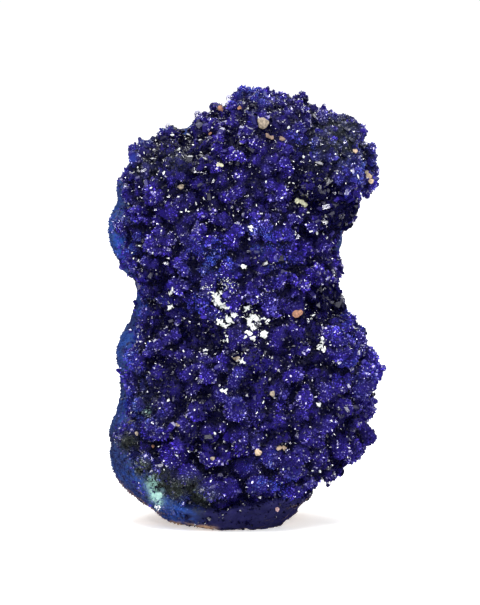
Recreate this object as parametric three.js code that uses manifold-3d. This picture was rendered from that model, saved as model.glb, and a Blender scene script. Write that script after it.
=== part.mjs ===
// An azurite geode that stands on its lower end: a smooth blue rind of massive azurite, and a crust of crystal
// rosettes that covers its front, its top and its right side.
//
// Millimetres, +Z up. The crystals face -Y. The finished specimen is moved so that its flat foot lies at Z = 0 and
// the origin is under the middle of its box.

import * as THREE from "three";
import { mergeVertices } from "three/addons/utils/BufferGeometryUtils.js";
import Module from "manifold-3d";

// The outline of the specimen, as [height, reach] from a spine that stands at X = 0, Y = 0. The left and right
// edges are what the front view shows, to the tips of the rosettes. The front and back reaches are depths.
const HEIGHT = 75;
const LEFT_EDGE = [
  [0, -8], [1.5, -11.8], [4, -15.2], [7, -19.8], [11, -21.8], [15, -22.6], [20, -21.1], [24.5, -19.5], [31, -21.6],
  [36, -18.2], [41, -17.3], [45, -20.6], [51, -22.3], [58, -20], [64, -19.2], [66, -17], [67.4, -13.5], [68.4, -9.5],
  [70.3, -7], [72, -5], [74, -2.6], [75.5, 1],
];
const RIGHT_EDGE = [
  [0, 6], [1.5, 6.8], [4, 10], [6.6, 11.6], [8.6, 16.2], [11, 19], [15, 21.9], [19, 21.7], [27, 23.2], [31, 22.2],
  [36, 19.6], [38.5, 15.8], [44, 17.8], [48.4, 14.2], [53.5, 18.8], [59, 22.8], [63, 22.6], [66, 21.3], [69.4, 19.6],
  [72, 14.4], [74.2, 10.4], [75.5, 6],
];
const FRONT_REACH = [
  [0, 7.5], [1.5, 9.6], [5, 12.4], [11, 15], [20, 16.4], [28, 16], [37, 14], [43, 14.2], [53, 15.4], [61, 14.4],
  [67, 12], [72, 7.8], [75, 3],
];
const BACK_REACH = [
  [0, 8], [1.5, 9.6], [5, 12], [12, 14.4], [22, 15.4], [36, 14.6], [52, 14.6], [60, 12.6], [66, 9.4], [70, 6],
  [75, 2],
];
const SECTION_POWER = 2.3;

// The two edges are smoother where the surface runs round to the back.
const BACK_LEFT_EDGE = [
  [0, -7.5], [4, -14.6], [12, -20.4], [30, -19.6], [39, -17.6], [48, -20.6], [60, -18.6], [66, -12], [71, -5],
  [75, 1],
];
const BACK_RIGHT_EDGE = [[0, 6], [4, 9], [10, 16.6], [24, 21], [40, 17], [56, 20.4], [65, 17.6], [71, 10], [75, 4]];
const BACK_TURN = 9;

// The spine that the surface is measured out from, how far down the outline runs, and the height at which it is cut
// flat for the foot.
const SPINE_LOW = 15;
const SPINE_HIGH = 58;
const OUTLINE_LOW = -3;
const FOOT_LEVEL = 1.3;

// Where the crust ends. It crosses the specimen from front left to back right, given as [height, y] at either
// side, and it stops above the foot, given as [x, height]. Its edge wanders in ripples.
const CRUST_SIDE = 22;
const CRUST_LEFT = [
  [0, -9.5], [8, -10], [16, -9], [22, -5.5], [25.5, -3.5], [30, -6.8], [34, -4.5], [37, 0.5], [41, 1.5], [44, -4],
  [49, -7.8], [53, -6.4], [57, -0.5], [61, 2.5], [66, 3.5], [75, 3.5],
];
const CRUST_RIGHT = [[0, 6], [12, 8.5], [24, 7.5], [37, 4.5], [48, 6], [58, 8], [68, 6], [75, 5]];
const CRUST_LOW = [[-22, 18], [-18, 12], [-14, 8.3], [-7, 5.8], [0, 6.4], [8, 7.4], [22, 8.4]];
const CRUST_WANDER = 0.5;
const CRUST_RIPPLE = 0.8;

// The width, depth and height of the block that the cuts are made from, all round the specimen.
const BLOCK = [80, 60, 90];

// How far the layers lie under the outline. The crust sits on a seat in the rind, with a gap between them. Its bed
// is the floor between the rosettes. The bed and the rind's face are rough.
const SEAT_INSET = 6;
const BED_INSET = 2.2;
const BED_ROUGHNESS = 1;
const RIND_ROUGHNESS = 0.5;
const GAP = 0.8;

// Crystal rosettes: the ones that stand out on the front, as [x, height, radius], and the sizes of the rest, of
// which the small ones are the more common by the skew.
const LANDMARK_ROSETTES = [
  [-14.2, 68, 2.8], [-0.8, 72.8, 2.2], [-1.8, 69.6, 2.2], [4, 74, 2.7], [7.6, 71.9, 2.3], [11, 70.2, 2.4],
  [14.6, 66.2, 3.2], [18.1, 61.3, 3], [20, 57.1, 2.3], [-6.8, 59, 2.4], [-1.8, 57.8, 2.3], [2.9, 47.4, 2.8],
  [-6.7, 45.7, 2.3], [-1.8, 45.6, 2.5], [15.6, 45.9, 2.5], [11.2, 42.6, 2.4], [16, 42, 2.4], [5.5, 38.6, 2.8],
  [-6.3, 37.2, 2.5], [8.5, 34.7, 2.3], [18.3, 35.6, 2.2], [-13.9, 33.5, 2.3], [17, 32, 3.6], [-11, 31.2, 2.2],
  [2.4, 30.5, 2.9], [9.4, 28.1, 2.3], [20.6, 26.8, 2.9], [4, 25.6, 2.3], [-1.3, 22.8, 2.4], [5, 21, 2.5],
  [9.6, 21.6, 2.5], [0.4, 18.1, 2.5], [-6, 17.6, 2.3], [13, 16, 3.3], [19, 15.3, 2.6], [-13.9, 13, 2.4],
  [8.7, 12.6, 2.3], [12.3, 11.4, 2.4], [16.4, 11.4, 2.4], [-10.6, 11, 2.2], [3.8, 8.9, 3], [-3.3, 8.6, 2.3],
  [9.6, 8.2, 2.2], [13.4, 47.6, 2.3],
];
const ROSETTE_SMALL = 2.4;
const ROSETTE_LARGE = 3.6;
const ROSETTE_SKEW = 1.5;
const ROSETTE_SPACING = 0.85;
const ROSETTE_INSET = 1.35;
const ROSETTE_BURIED = 0.55;
const ROSETTE_STRETCH = [0.9, 1.15];
const ROSETTE_EDGE_ROOM = 0.8;
const TRIES = 4000;

// A share of the rest are single tabular crystals, blades, in place of rosettes. A blade's width, thickness and
// length are multiples of the radius.
const BLADE_SHARE = 0.4;
const BLADE_SIZE = [1.8, 1, 2.2];
const BLADE_TAPER = 0.6;
const BLADE_LEAN = 0.55;

// Masses that swell out of the front and rounded knobs on the back, as [x, height, radius, rise].
const FRONT_SWELLS = [
  [17, 63, 6.5, 2.4], [3, 67, 8, 1.6], [-13, 59, 8, 1.3], [2, 45, 6.5, 1.9], [16, 44, 4.5, 1.5], [17.5, 30, 6, 2.4],
  [1, 24, 7, 1.4], [-14, 20, 7, 1.2], [5, 9, 6, 1.3],
];
const BACK_KNOBS = [
  [-13, 60, 6, 2.2], [-4, 66, 5, 1.4], [6, 63, 6, 2], [14, 57, 5, 2.2], [-16, 49, 5, 1.8], [-6, 52, 6, 1.4],
  [4, 50, 5, 2], [12, 45, 4, 1.4], [-12, 39, 6, 2.2], [-1, 39, 5, 1.4], [8, 36, 6, 2.2], [-17, 28, 5, 1.8],
  [-7, 27, 6, 2.2], [4, 26, 5, 1.6], [14, 27, 5, 2.2], [-12, 15, 6, 2], [0, 15, 6, 1.8], [11, 15, 6, 2.2],
];

// Hollows between the rosettes on the front, as [x, height, radius, depth].
const HOLLOWS = [
  [9.2, 18.2, 2.1, 3], [12.4, 57.6, 3, 3], [9.5, 54, 2.4, 2], [14, 38.6, 2.6, 2.2], [-8.2, 34.3, 2.4, 3],
  [-4.6, 33.3, 2.2, 2.8], [-13.7, 36.8, 1.8, 2], [-14.9, 42.8, 1.8, 2], [-12.6, 27.4, 2, 2.2],
  [-8.7, 15.2, 2.2, 2.4], [0.2, 11.4, 1.7, 2.2], [-10, 66.4, 2, 2.6], [1.6, 35, 2, 2.2],
  [8.3, 62.4, 1.7, 2], [13, 28, 2, 2.2],
];
const HOLLOW_LIMIT = 1.8;

// Where the swells and knobs reach their full rise, in depth from the specimen's edge.
const RELIEF_TURN = 8;

// How finely each surface is divided.
const RIND_DETAIL = 8;
const SEAT_DETAIL = 4;
const BED_DETAIL = 6;
const EDGE_STEP = 6;
const MERGE = 1e-4;

const RIND_SEED = 11;
const CRUST_SEED = 21;

const wasm = await Module();
wasm.setup();

// A repeatable stream of numbers from 0 to 1.
function randomStream(seed) {
  let state = seed;
  return () => {
    state = (state + 0x6d2b79f5) | 0;
    let mixed = Math.imul(state ^ (state >>> 15), 1 | state);
    mixed = (mixed + Math.imul(mixed ^ (mixed >>> 7), 61 | mixed)) ^ mixed;
    return ((mixed ^ (mixed >>> 14)) >>> 0) / 4294967296;
  };
}

// A smooth curve of value against place through the given points.
function profile(points) {
  const slope = (i) => {
    const before = points[Math.max(i - 1, 0)];
    const after = points[Math.min(i + 1, points.length - 1)];
    return (after[1] - before[1]) / (after[0] - before[0]);
  };
  return (place) => {
    const at = THREE.MathUtils.clamp(place, points[0][0], points.at(-1)[0]);
    const next = Math.max(1, points.findIndex((point) => point[0] >= at));
    const [start, value0] = points[next - 1];
    const [end, value1] = points[next];
    const span = end - start;
    const t = (at - start) / span;
    const ease = t * t * (3 - 2 * t);
    const leave = t * (1 - t) * (1 - t) * span * slope(next - 1);
    const arrive = t * t * (t - 1) * span * slope(next);
    return value0 * (1 - ease) + value1 * ease + leave + arrive;
  };
}

const leftAt = profile(LEFT_EDGE);
const rightAt = profile(RIGHT_EDGE);
const backLeftAt = profile(BACK_LEFT_EDGE);
const backRightAt = profile(BACK_RIGHT_EDGE);
const frontAt = profile(FRONT_REACH);
const backAt = profile(BACK_REACH);
const crustLeftAt = profile(CRUST_LEFT);
const crustRightAt = profile(CRUST_RIGHT);
const crustLowAt = profile(CRUST_LOW);

// True where a point lies in the body that the outline bounds.
function inOutline(point) {
  if (point.z > HEIGHT || point.z < OUTLINE_LOW) return false;
  const turned = THREE.MathUtils.smoothstep(point.y, 0, BACK_TURN);
  const left = THREE.MathUtils.lerp(leftAt(point.z), backLeftAt(point.z), turned);
  const right = THREE.MathUtils.lerp(rightAt(point.z), backRightAt(point.z), turned);
  const across = (point.x - (left + right) / 2) / ((right - left) / 2);
  const deep = point.y / (point.y < 0 ? frontAt(point.z) : backAt(point.z));
  return Math.abs(across) ** SECTION_POWER + Math.abs(deep) ** SECTION_POWER < 1;
}

// The first point inside the outline on the way from start towards end.
function firstInside(start, end) {
  const steps = 80;
  const at = (share) => start.clone().lerp(end, share);
  let inside = 1;
  for (let step = 0; step <= steps; step++) {
    if (inOutline(at(step / steps))) {
      inside = step / steps;
      break;
    }
  }
  let outside = Math.max(0, inside - 1 / steps);
  for (let halving = 0; halving < 10; halving++) {
    const middle = (inside + outside) / 2;
    if (inOutline(at(middle))) inside = middle;
    else outside = middle;
  }
  return at(inside);
}

// The point of the spine that looks out in a direction, and the outline's surface there.
function spinePoint(direction) {
  const middle = (SPINE_LOW + SPINE_HIGH) / 2;
  const half = (SPINE_HIGH - SPINE_LOW) / 2;
  return new THREE.Vector3(0, 0, middle + half * direction.z);
}

function outlinePoint(direction) {
  const origin = spinePoint(direction);
  const far = origin.clone().addScaledVector(direction, BLOCK[0] / 2);
  return firstInside(far, origin);
}

// The outline's surface straight behind a place on the front view.
function frontPoint(x, z) {
  return firstInside(new THREE.Vector3(x, -BLOCK[1] / 2, z), new THREE.Vector3(x, 0, z));
}

// The largest of some rounded bumps or dents, each given as [x, height, radius, size], at a point.
function largestOf(spots, point) {
  const sizes = spots.map(([x, z, radius, size]) => {
    const away = ((point.x - x) ** 2 + (point.z - z) ** 2) / radius ** 2;
    return size * Math.exp(-away);
  });
  return Math.max(...sizes);
}

function hollowDepth(point) {
  return point.y < 0 ? largestOf(HOLLOWS, point) : 0;
}

// How far the masses lift the surface. The share grows from the specimen's edge to its front and back.
function swellRise(point) {
  const share = THREE.MathUtils.smoothstep(Math.abs(point.y), 0, RELIEF_TURN);
  return share * largestOf(point.y < 0 ? FRONT_SWELLS : BACK_KNOBS, point);
}

// The crust ends behind this depth, and below this height.
function crustBack(x, z) {
  const across = (x + CRUST_SIDE) / (2 * CRUST_SIDE);
  const wander = CRUST_WANDER * (Math.cos(z * CRUST_RIPPLE) + Math.sin(x * CRUST_RIPPLE));
  return THREE.MathUtils.lerp(crustLeftAt(z), crustRightAt(z), across) + wander;
}

function crustFoot(x) {
  return crustLowAt(x) + CRUST_WANDER * Math.sin(x * CRUST_RIPPLE);
}

// Millimetres from the crust's edge, positive where the crust grows.
function crustRoom(point) {
  return Math.min(crustBack(point.x, point.z) - point.y, point.z - crustFoot(point.x));
}

// How deep the relief takes a layer under the outline.
function reliefDepth(surface) {
  return hollowDepth(surface) - swellRise(surface);
}

// A geometry with its shared points merged, and each point then moved by a rule.
function movedPoints(geometry, move) {
  geometry.deleteAttribute("normal");
  geometry.deleteAttribute("uv");
  const merged = mergeVertices(geometry, MERGE);
  const position = merged.getAttribute("position");
  for (let i = 0; i < position.count; i++) {
    const point = move(new THREE.Vector3().fromBufferAttribute(position, i));
    position.setXYZ(i, point.x, point.y, point.z);
  }
  return merged;
}

// A solid for cutting and joining.
function solidFrom(geometry, move = (point) => point) {
  const merged = movedPoints(geometry, move);
  return new wasm.Manifold(new wasm.Mesh({
    numProp: 3,
    vertProperties: new Float32Array(merged.getAttribute("position").array),
    triVerts: new Uint32Array(merged.getIndex().array),
  }));
}

// A solid whose surface lies a chosen depth under the outline.
function sunkenSolid(detail, depthAt) {
  return solidFrom(new THREE.IcosahedronGeometry(1, detail), (point) => {
    const direction = point.normalize();
    const surface = outlinePoint(direction);
    return surface.addScaledVector(direction, -depthAt(surface));
  });
}

// Spots spread evenly over the crust, in a mixed order: each a point of the outline and the way out from it.
function crustSpots() {
  const goldenAngle = Math.PI * (3 - Math.sqrt(5));
  const stride = 7919;
  const spots = [];
  for (let step = 0; step < TRIES; step++) {
    const i = (step * stride) % TRIES;
    const z = 1 - (2 * i + 1) / TRIES;
    const flat = Math.sqrt(1 - z * z);
    const outward = new THREE.Vector3(Math.cos(i * goldenAngle) * flat, Math.sin(i * goldenAngle) * flat, z);
    const surface = outlinePoint(outward);
    if (crustRoom(surface) > ROSETTE_EDGE_ROOM) spots.push({ surface, outward });
  }
  return spots;
}

// One rosette: a faceted lump of intergrown crystals, turned and stretched at random.
function rosetteSolid({ centre, radius }, random) {
  const stretch = () => THREE.MathUtils.lerp(...ROSETTE_STRETCH, random());
  const lump = new THREE.IcosahedronGeometry(radius, 0);
  lump.rotateX(random() * Math.PI);
  lump.rotateZ(random() * Math.PI);
  lump.scale(stretch(), stretch(), stretch());
  lump.rotateY(random() * Math.PI);
  lump.translate(centre.x, centre.y, centre.z);
  return solidFrom(lump);
}

// One tabular crystal with a tapered end that leans out of the bed.
function bladeSolid({ centre, outward, radius }, random) {
  const lean = () => BLADE_LEAN * (random() * 2 - 1);
  const up = new THREE.Quaternion().setFromUnitVectors(new THREE.Vector3(0, 0, 1), outward);
  const turn = new THREE.Quaternion().setFromEuler(new THREE.Euler(lean(), lean(), random() * Math.PI));
  const size = new THREE.Vector3(radius, radius, radius);
  const place = new THREE.Matrix4().compose(centre, up.multiply(turn), size);
  return solidFrom(new THREE.BoxGeometry(...BLADE_SIZE), (corner) => {
    const taper = corner.z > 0 ? BLADE_TAPER : 1;
    return new THREE.Vector3(corner.x * taper, corner.y * taper, corner.z).applyMatrix4(place);
  });
}

// Where the rosettes and the blades sit: the landmarks first, and the rest packed round them over the crust.
function crystalPlaces(random) {
  const places = [];
  const settle = (surface, outward, radius, shape) => {
    const depth = ROSETTE_INSET + ROSETTE_BURIED * radius + reliefDepth(surface);
    places.push({ centre: surface.clone().addScaledVector(outward, -depth), outward, radius, shape });
  };
  for (const [x, z, radius] of LANDMARK_ROSETTES) {
    const surface = frontPoint(x, z);
    const spineZ = THREE.MathUtils.clamp(z, SPINE_LOW, SPINE_HIGH);
    settle(surface, surface.clone().sub(new THREE.Vector3(0, 0, spineZ)).normalize(), radius, rosetteSolid);
  }
  for (const { surface, outward } of crustSpots()) {
    const radius = THREE.MathUtils.lerp(ROSETTE_SMALL, ROSETTE_LARGE, random() ** ROSETTE_SKEW);
    const crowded = places.some(
      (other) => other.centre.distanceTo(surface) < ROSETTE_SPACING * (other.radius + radius),
    );
    const hollow = hollowDepth(surface) > HOLLOW_LIMIT;
    const shape = random() < BLADE_SHARE ? bladeSolid : rosetteSolid;
    if (!crowded && !hollow) settle(surface, outward, radius, shape);
  }
  return places;
}

// A block round the specimen that stands on zero, in divisions about EDGE_STEP wide.
function surroundingBlock() {
  const [width, depth, height] = BLOCK;
  const block = new THREE.BoxGeometry(...BLOCK, Math.round(width / EDGE_STEP), 1, Math.round(height / EDGE_STEP));
  return block.translate(0, 0, height / 2);
}

// All that lies inside the seat, or beyond the crust's edge. A positive margin makes it that much smaller.
function seatSolid(margin) {
  const inside = sunkenSolid(SEAT_DETAIL, (surface) => SEAT_INSET + margin + reliefDepth(surface));
  const behind = solidFrom(surroundingBlock(), (corner) => {
    const back = crustBack(corner.x, corner.z) + margin;
    return corner.y < 0 ? new THREE.Vector3(corner.x, back, corner.z) : corner;
  });
  const below = solidFrom(surroundingBlock(), (corner) => {
    const top = crustFoot(corner.x) - margin;
    return new THREE.Vector3(corner.x, corner.y, (corner.z / BLOCK[2]) * top);
  });
  return inside.add(behind).add(below);
}

function rindSolid() {
  const random = randomStream(RIND_SEED);
  const roughFace = (surface) => RIND_ROUGHNESS * (random() - 0.5) - swellRise(surface);
  const aboveFoot = solidFrom(surroundingBlock().translate(0, 0, FOOT_LEVEL));
  return sunkenSolid(RIND_DETAIL, roughFace).intersect(seatSolid(GAP)).intersect(aboveFoot);
}

function crustSolid() {
  const random = randomStream(CRUST_SEED);
  const roughBed = (surface) => BED_INSET + BED_ROUGHNESS * (random() - 0.5) + reliefDepth(surface);
  let crust = sunkenSolid(BED_DETAIL, roughBed);
  for (const place of crystalPlaces(random)) {
    crust = crust.add(place.shape(place, random));
  }
  const pieces = crust.subtract(seatSolid(0)).decompose();
  return pieces.sort((a, b) => b.volume() - a.volume())[0];
}

function meshOf(name, solid, material) {
  const { vertProperties, triVerts } = solid.getMesh();
  const geometry = new THREE.BufferGeometry();
  geometry.setAttribute("position", new THREE.BufferAttribute(vertProperties, 3));
  geometry.setIndex(new THREE.BufferAttribute(triVerts, 1));
  geometry.computeVertexNormals();
  const mesh = new THREE.Mesh(geometry, material);
  mesh.name = name;
  return mesh;
}

// The shift that puts the middle of the box over the origin and the foot at zero.
function centring(solids) {
  const box = new THREE.Box3();
  for (const solid of solids) {
    const { min, max } = solid.boundingBox();
    box.expandByPoint(new THREE.Vector3(...min));
    box.expandByPoint(new THREE.Vector3(...max));
  }
  const middle = box.getCenter(new THREE.Vector3());
  return new THREE.Vector3(-middle.x, -middle.y, -box.min.z);
}

const rindMaterial = new THREE.MeshStandardMaterial({ color: 0x2f4a96, roughness: 0.75, metalness: 0 });
const crystalMaterial = new THREE.MeshStandardMaterial({ color: 0x231a72, roughness: 0.22, metalness: 0 });
crystalMaterial.flatShading = true;

const rind = rindSolid();
const crust = crustSolid();

const geode = new THREE.Group();
geode.position.copy(centring([rind, crust]));
geode.add(meshOf("rind", rind, rindMaterial));
geode.add(meshOf("crystal_crust", crust, crystalMaterial));

export default geode;
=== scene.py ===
# %% [markdown]
# # An azurite geode
#
# The real thing is a lump of massive azurite, about 74 mm tall, that stands on its lower end. Most of it
# is grown over with tiny dark blue crystals, in rounded clusters that collectors call rosettes. What
# isn't grown over is a smooth, paler blue rind. The solids of both come from model.glb, and this lesson
# dresses them. Each step says what it makes, how else it could be made, and why this way was chosen.
# Sizes are given in millimetres, and MM turns them into Blender's metres.

# %% Load the imported solids
import math

import bmesh
import bpy
import numpy as np
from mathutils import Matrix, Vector
from mathutils.bvhtree import BVHTree


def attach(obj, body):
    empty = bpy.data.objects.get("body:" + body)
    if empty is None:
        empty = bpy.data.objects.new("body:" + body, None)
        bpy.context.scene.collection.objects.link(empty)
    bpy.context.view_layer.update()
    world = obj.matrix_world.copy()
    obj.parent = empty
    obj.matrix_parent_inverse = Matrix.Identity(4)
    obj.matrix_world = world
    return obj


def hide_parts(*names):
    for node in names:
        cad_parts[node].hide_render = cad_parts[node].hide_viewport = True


MM = 0.001

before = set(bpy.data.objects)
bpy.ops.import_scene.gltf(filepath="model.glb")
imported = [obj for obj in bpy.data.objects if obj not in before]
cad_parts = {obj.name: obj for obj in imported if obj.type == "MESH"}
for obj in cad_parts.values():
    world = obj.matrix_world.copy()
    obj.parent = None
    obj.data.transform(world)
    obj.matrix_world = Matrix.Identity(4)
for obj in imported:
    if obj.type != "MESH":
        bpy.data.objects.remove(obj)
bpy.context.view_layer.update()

# %% [markdown]
# ## Placing things by the front view
#
# Grains and patches were measured on the front view, which looks down by eight degrees. A place is given
# in millimetres: to the right of the middle, and up the picture from the foot. A ray along that view then
# finds the surface that carries it, so nothing hangs in the air when it is seen from the side.

# %% The front view
ELEVATION = math.radians(8)
LOOK = Vector((0, math.cos(ELEVATION), -math.sin(ELEVATION)))
UP = Vector((0, math.sin(ELEVATION), math.cos(ELEVATION)))
RIGHT = Vector((1, 0, 0))
RAY_START = 0.2


def seen_at(surface, across, up):
    """The point and normal of a surface at a place on the front view, or None where the view misses it."""
    start = RIGHT * across * MM + UP * up * MM - LOOK * RAY_START
    point, normal, _, _ = surface.ray_cast(start, LOOK)
    return (point, normal) if point else None


print("the view looks along", LOOK)

# %% [markdown]
# ## Trees without the typing
#
# Geometry Nodes and shader trees are made of the same parts, so one helper adds a node to either. It
# takes the node's settings and what goes into each input, which is a value or the output of another node.


# %% Helpers for node trees
def add(tree, kind, inputs=(), **settings):
    """Adds one node. Inputs map a name or an index to a value or to the socket that feeds it."""
    node = tree.nodes.new(kind)
    for name, value in settings.items():
        setattr(node, name, value)
    for key, value in dict(inputs).items():
        if isinstance(value, bpy.types.NodeSocket):
            tree.links.new(value, node.inputs[key])
        else:
            node.inputs[key].default_value = value
    return node


def maths(tree, operation, *values):
    """Numbers put together by Math nodes, from the left."""
    result = values[0]
    for value in values[1:]:
        result = add(tree, "ShaderNodeMath", {0: result, 1: value}, operation=operation).outputs[0]
    return result


def new_group(kind, name, inputs, outputs):
    """A node group with sockets of the given kinds, and what comes out of its input node."""
    tree = bpy.data.node_groups.new(name, kind)
    for side, sockets in (("INPUT", inputs), ("OUTPUT", outputs)):
        for label, socket in sockets.items():
            tree.interface.new_socket(label, in_out=side, socket_type=f"NodeSocket{socket}")
    return tree, tree.nodes.new("NodeGroupInput").outputs


def geometry_tree(name, sizes, **others):
    """A Geometry Nodes tree with a named input for each size, and others of a given kind."""
    inputs = {"Geometry": "Geometry", **dict.fromkeys(sizes, "Float"), **others}
    return new_group("GeometryNodeTree", name, inputs, {"Geometry": "Geometry"})


def named(tree, name):
    """A number that a Geometry Nodes tree reads from the points of its mesh."""
    reader = add(tree, "GeometryNodeInputNamedAttribute", {"Name": name}, data_type="FLOAT")
    return reader.outputs["Attribute"]


def parted(tree, vector):
    """The three numbers of a place or a colour."""
    return add(tree, "ShaderNodeSeparateXYZ", {0: vector}).outputs


def coordinate(tree, kind="Object"):
    """The place on a surface that a material is asked about."""
    return add(tree, "ShaderNodeTexCoord").outputs[kind]


# %% Helpers for meshes
def shown(name, data):
    """A new object for a mesh, a lamp or a camera."""
    obj = bpy.data.objects.new(name, data)
    bpy.context.scene.collection.objects.link(obj)
    return obj


def built(name, points, faces):
    """A new object from points and faces."""
    mesh = bpy.data.meshes.new(name)
    mesh.from_pydata(points, [], faces)
    return shown(name, mesh)


def settled(obj):
    """Turns an object with modifiers into a plain mesh."""
    graph = bpy.context.evaluated_depsgraph_get()
    mesh = bpy.data.meshes.new_from_object(obj.evaluated_get(graph))
    obj.modifiers.clear()
    obj.data = mesh
    return obj


def run_tree(obj, tree, sizes):
    """Runs a Geometry Nodes tree over an object, and keeps the result as its mesh."""
    modifier = obj.modifiers.new(tree.name, "NODES")
    modifier.node_group = tree
    for item in tree.interface.items_tree:
        if item.in_out == "INPUT" and item.name in sizes:
            modifier[item.identifier] = sizes[item.name]
    return settled(obj)


def points_of(mesh):
    """The points and their normals, as arrays."""
    places = np.empty(len(mesh.vertices) * 3)
    normals = np.empty(len(mesh.vertices) * 3)
    mesh.vertices.foreach_get("co", places)
    mesh.vertices.foreach_get("normal", normals)
    return places.reshape(-1, 3), normals.reshape(-1, 3)


def paint(mesh, name, values):
    """Stores one number at each point of a mesh."""
    layer = mesh.attributes.get(name) or mesh.attributes.new(name, "FLOAT", "POINT")
    layer.data.foreach_set("value", np.asarray(values, dtype=np.float32))


def tree_of(mesh):
    """A mesh as a surface that rays can be cast at."""
    vertices = [v.co for v in mesh.vertices]
    return BVHTree.FromPolygons(vertices, [tuple(p.vertices) for p in mesh.polygons])


# %% [markdown]
# ## Skins
#
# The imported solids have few, flat faces, which suits a file for engineers. The real surface is rounded
# and far finer. Subdivision would keep every flat face as a facet, so each solid is remeshed into even
# little squares, and smoothed until the facets are gone. The form stays, and there are enough points to
# grow detail on.


# %% Remesh the two solids
def skin_of(node, name, smoothing):
    """A closed, even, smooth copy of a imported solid."""
    obj = shown(name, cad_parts[node].data.copy())
    obj.data.materials.clear()
    work = bmesh.new()
    work.from_mesh(obj.data)
    bmesh.ops.remove_doubles(work, verts=work.verts, dist=SAME_PLACE)
    work.to_mesh(obj.data)
    work.free()
    remesh = obj.modifiers.new("Even squares", "REMESH")
    remesh.mode = "VOXEL"
    remesh.voxel_size = VOXEL * MM
    remesh.use_smooth_shade = True
    smooth = obj.modifiers.new("No facets", "SMOOTH")
    smooth.iterations = smoothing
    return settled(obj)


VOXEL = 0.45
SAME_PLACE = 1e-7

crust = skin_of("crystal_crust", "crystal_bed", smoothing=9)
rind = skin_of("rind", "azurite_rind", smoothing=14)
for skin in (crust, rind):
    print(skin.name, len(skin.data.polygons), "squares")

# %% [markdown]
# ## Closing the joint
#
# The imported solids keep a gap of 0.8 mm between them. The real crust grew on the rock, so each skin is
# told where the other is near, and will swell there until the two run into each other. A remesh of both
# together would close the gap as well, but it would leave one skin with two materials, and the two solids
# need a skin each.


# %% Find where the skins are near each other
def between_values(values, none, full):
    """Takes numbers from one value to another to the range from 0 to 1."""
    return np.clip((values - none) / (full - none), 0, 1)


def nearness(places, surface, full, none):
    """1 up to one distance from a surface, and 0 from another distance on."""
    away = np.array([surface.find_nearest(Vector(place))[3] for place in places])
    return between_values(away, none * MM, full * MM)


crust_places, _ = points_of(crust.data)
rind_places, _ = points_of(rind.data)
paint(crust.data, "joint", nearness(crust_places, tree_of(rind.data), full=0.9, none=2.2))
paint(rind.data, "joint", nearness(rind_places, tree_of(crust.data), full=0.9, none=2.6))
print("the skins know their joint")

# %% [markdown]
# ## Rosettes and swells
#
# A rosette is a ball of crystals that grew out of one point, and balls that grew side by side meet in a
# crease. A cell pattern in space has the same law: each place belongs to its nearest seed. So the skin is
# pushed out most where it is close to a seed, and least on the borders between seeds. The same tree makes
# the small balls on the crust and the low swells on the rind, roughens both, and fills the joint. Balls
# of two sizes share the surface in patches, with the bigger ones low down. How high a ball stands is
# stored too, because the creases get painted shade, and so is a random number for each ball, because no
# two rosettes have quite the same blue.

# %% A tree that grows rounded balls
BALL_SIZES = ("Spacing", "Rise", "Grow", "Fill", "Grain", "Rough", "Patch", "Divide", "Seed")
BALL_REACH = 0.8
SMALL_SHARE = 0.6
SMALL_RISE = 0.5
PATCH_CONTRAST = 6.0
FADE = 24

balls, size = geometry_tree("Rounded balls", BALL_SIZES)
seed_shift = add(balls, "ShaderNodeCombineXYZ", {"Z": size["Seed"]})
place = add(balls, "GeometryNodeInputPosition")


def domes(spacing):
    """Balls of one spacing, 1 on top and 0 on the borders between them, and a random number for each."""
    scale = maths(balls, "DIVIDE", 1.0, spacing)
    scaled = add(balls, "ShaderNodeVectorMath", {0: place.outputs[0], "Scale": scale}, operation="SCALE")
    both = {0: scaled.outputs[0], 1: seed_shift.outputs[0]}
    moved = add(balls, "ShaderNodeVectorMath", both, operation="ADD")
    cells = add(balls, "ShaderNodeTexVoronoi", {"Vector": moved.outputs[0], "Scale": 1.0})
    away = maths(balls, "DIVIDE", cells.outputs["Distance"], BALL_REACH)
    round_top = maths(balls, "SUBTRACT", 1.0, maths(balls, "POWER", away, 2.0))
    dome = maths(balls, "MAXIMUM", round_top, 0.0)
    return dome, parted(balls, cells.outputs["Color"])["X"]


def blend(share, first, second):
    """One number turned into another by a share."""
    step = maths(balls, "SUBTRACT", second, first)
    return maths(balls, "ADD", first, maths(balls, "MULTIPLY", share, step))


def noise_of(grain, detail):
    """Plain noise of a chosen grain, around 0."""
    scale = maths(balls, "DIVIDE", 1.0, grain)
    inputs = {"Vector": place.outputs[0], "Scale": scale, "Detail": detail}
    return maths(balls, "SUBTRACT", add(balls, "ShaderNodeTexNoise", inputs).outputs[0], 0.5)


height = parted(balls, place.outputs[0])["Z"]
mixture = maths(balls, "MULTIPLY", noise_of(size["Patch"], 1.0), PATCH_CONTRAST)
lower = maths(balls, "DIVIDE", maths(balls, "SUBTRACT", size["Divide"], height), FADE * MM)
big_share = add(balls, "ShaderNodeClamp", {0: maths(balls, "ADD", mixture, lower)}).outputs[0]
small_dome, small_tone = domes(maths(balls, "MULTIPLY", size["Spacing"], SMALL_SHARE))
big_dome, big_tone = domes(size["Spacing"])
dome = blend(big_share, maths(balls, "MULTIPLY", small_dome, SMALL_RISE), big_dome)
ball_tone = blend(big_share, small_tone, big_tone)
lift = maths(
    balls,
    "ADD",
    maths(balls, "MULTIPLY", dome, size["Rise"]),
    size["Grow"],
    maths(balls, "MULTIPLY", named(balls, "joint"), size["Fill"]),
    maths(balls, "MULTIPLY", noise_of(size["Grain"], 3.0), size["Rough"]),
)
outwards = add(balls, "GeometryNodeInputNormal").outputs[0]
offset = add(balls, "ShaderNodeVectorMath", {0: outwards, "Scale": lift}, operation="SCALE")
noted = size["Geometry"]
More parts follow.
